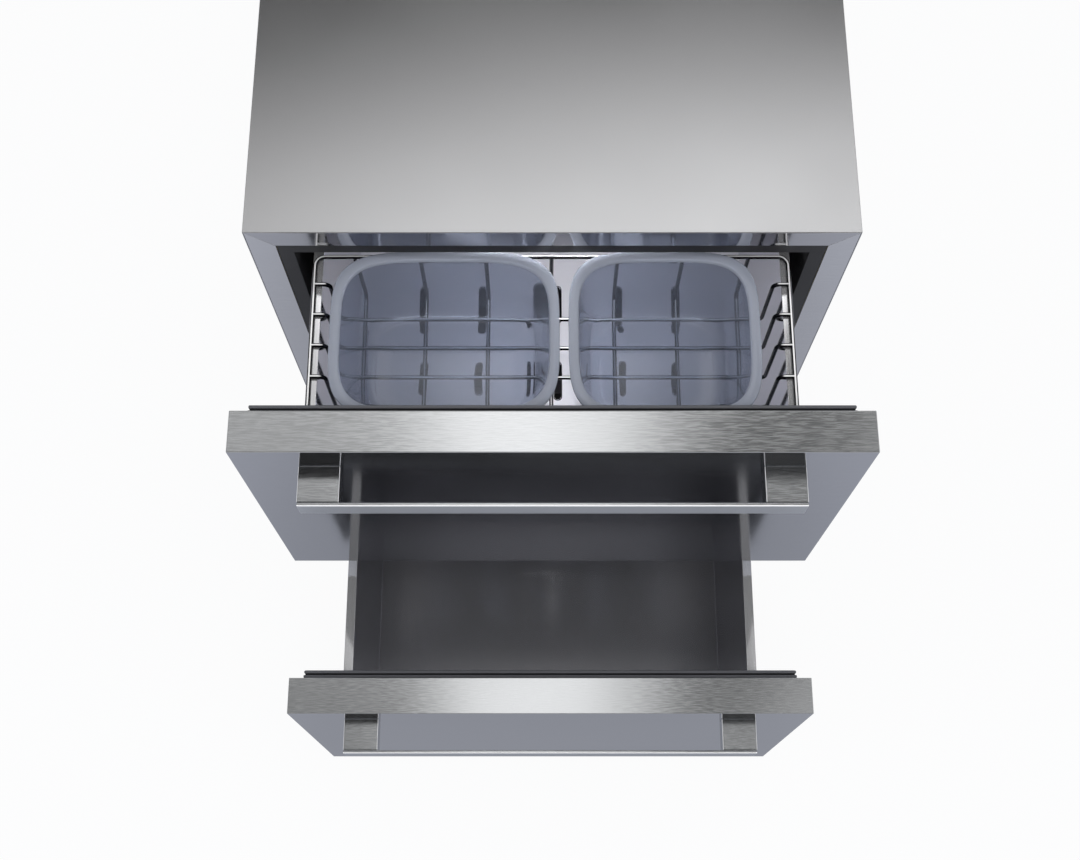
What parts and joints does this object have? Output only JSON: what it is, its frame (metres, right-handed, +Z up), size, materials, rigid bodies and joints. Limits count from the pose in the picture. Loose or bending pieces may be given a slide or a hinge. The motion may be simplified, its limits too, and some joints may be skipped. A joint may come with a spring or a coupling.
{
  "type": "undercounter drawer refrigerator",
  "caption": "Stainless undercounter refrigerator, its stacked full-width drawers partly open on telescopic slides, with bar handles, steel tubs, a wire basket and translucent bins.",
  "frame": {"origin": "on the floor, under the middle of the appliance's box with the drawers open as at rest", "axes": "+X to the right as seen from the front, +Y from the drawers into the cabinet, +Z up"},
  "size_m": [0.606, 0.9974, 0.876],
  "materials": {
    "stainless": "brushed, horizontal grain",
    "tub_steel": "bright-rolled stainless, side walls nearly mirror-like",
    "handle_steel": "satin",
    "zinc_steel": "zinc-plated",
    "chrome_wire": "bright plated",
    "charcoal_plastic": "fine satin",
    "bin_plastic": "translucent smoky blue-grey, polished",
    "seal_rubber": "matt",
    "foam": "cellular",
    "black_paint": "satin black",
    "copper": "drawn tube",
    "fin_aluminium": "mill finish",
    "lamp_lens": "frosted"
  },
  "bodies": {
    "cabinet": {"top_panel": "stainless", "side_panel_left": "stainless", "side_panel_right": "stainless", "rear_panel": "zinc_steel", "base_pan": "zinc_steel", "cabinet_floor": "zinc_steel", "face_frame_left": "stainless", "face_frame_right": "stainless", "face_frame_top": "stainless", "face_frame_bottom": "stainless", "face_frame_centre": "stainless", "toe_kick_grille": "handle_steel", "inner_liner": "charcoal_plastic", "foam_insulation": "foam", "compressor": "black_paint", "condenser_coil": "fin_aluminium", "condenser_fan_shroud": "black_paint", "drain_pan": "charcoal_plastic", "refrigerant_line": "copper", "power_inlet": "charcoal_plastic", "evaporator_cover": "stainless", "evaporator_coil": "fin_aluminium", "evaporator_fan_motor": "charcoal_plastic", "control_housing": "charcoal_plastic", "interior_light_lens": "lamp_lens", "upper_slide_cabinet_member_left": "zinc_steel", "upper_slide_cabinet_member_right": "zinc_steel", "lower_slide_cabinet_member_left": "zinc_steel", "lower_slide_cabinet_member_right": "zinc_steel", "levelling_foot_front_left": "zinc_steel", "levelling_foot_front_right": "zinc_steel", "levelling_foot_rear_left": "zinc_steel", "levelling_foot_rear_right": "zinc_steel"},
    "upper_drawer": {"upper_door_skin": "stainless", "upper_door_inner_panel": "charcoal_plastic", "upper_gasket": "seal_rubber", "upper_handle_bar": "handle_steel", "upper_handle_post_left": "handle_steel", "upper_handle_post_right": "handle_steel", "upper_tub": "tub_steel", "upper_slide_drawer_member_left": "zinc_steel", "upper_slide_drawer_member_right": "zinc_steel", "wire_basket": "chrome_wire", "bin_left": "bin_plastic", "bin_right": "bin_plastic"},
    "upper_slide_middle": {"upper_slide_middle_member_left": "zinc_steel", "upper_slide_middle_member_right": "zinc_steel"},
    "lower_drawer": {"lower_door_skin": "stainless", "lower_door_inner_panel": "charcoal_plastic", "lower_gasket": "seal_rubber", "lower_handle_bar": "handle_steel", "lower_handle_post_left": "handle_steel", "lower_handle_post_right": "handle_steel", "lower_tub": "tub_steel", "lower_slide_drawer_member_left": "zinc_steel", "lower_slide_drawer_member_right": "zinc_steel"},
    "lower_slide_middle": {"lower_slide_middle_member_left": "zinc_steel", "lower_slide_middle_member_right": "zinc_steel"},
    "condenser_fan": {"condenser_fan_rotor": "charcoal_plastic"},
    "evaporator_fan": {"evaporator_fan_rotor": "charcoal_plastic"}
  },
  "joints": [
    {"name": "upper_drawer_slide", "type": "slide", "parent": "cabinet", "child": "upper_drawer", "axis": [0, -1, 0], "range_m": [-0.172, 0.208]},
    {"name": "upper_middle_slide", "type": "slide", "parent": "cabinet", "child": "upper_slide_middle", "axis": [0, -1, 0], "range_m": [-0.086, 0.104]},
    {"name": "lower_drawer_slide", "type": "slide", "parent": "cabinet", "child": "lower_drawer", "axis": [0, -1, 0], "range_m": [-0.351, 0.029]},
    {"name": "lower_middle_slide", "type": "slide", "parent": "cabinet", "child": "lower_slide_middle", "axis": [0, -1, 0], "range_m": [-0.1755, 0.0145]},
    {"name": "condenser_fan_spin", "type": "hinge", "parent": "cabinet", "child": "condenser_fan", "pos_m": [0.18, 0.35565, 0.116], "axis": [0, 1, 0], "continuous": true},
    {"name": "evaporator_fan_spin", "type": "hinge", "parent": "cabinet", "child": "evaporator_fan", "pos_m": [0, 0.40865, 0.73], "axis": [0, 1, 0], "continuous": true}
  ],
  "couplings": [
    {"joint": "upper_middle_slide", "follows": "upper_drawer_slide", "ratio": 0.5},
    {"joint": "lower_middle_slide", "follows": "lower_drawer_slide", "ratio": 0.5}
  ]
}
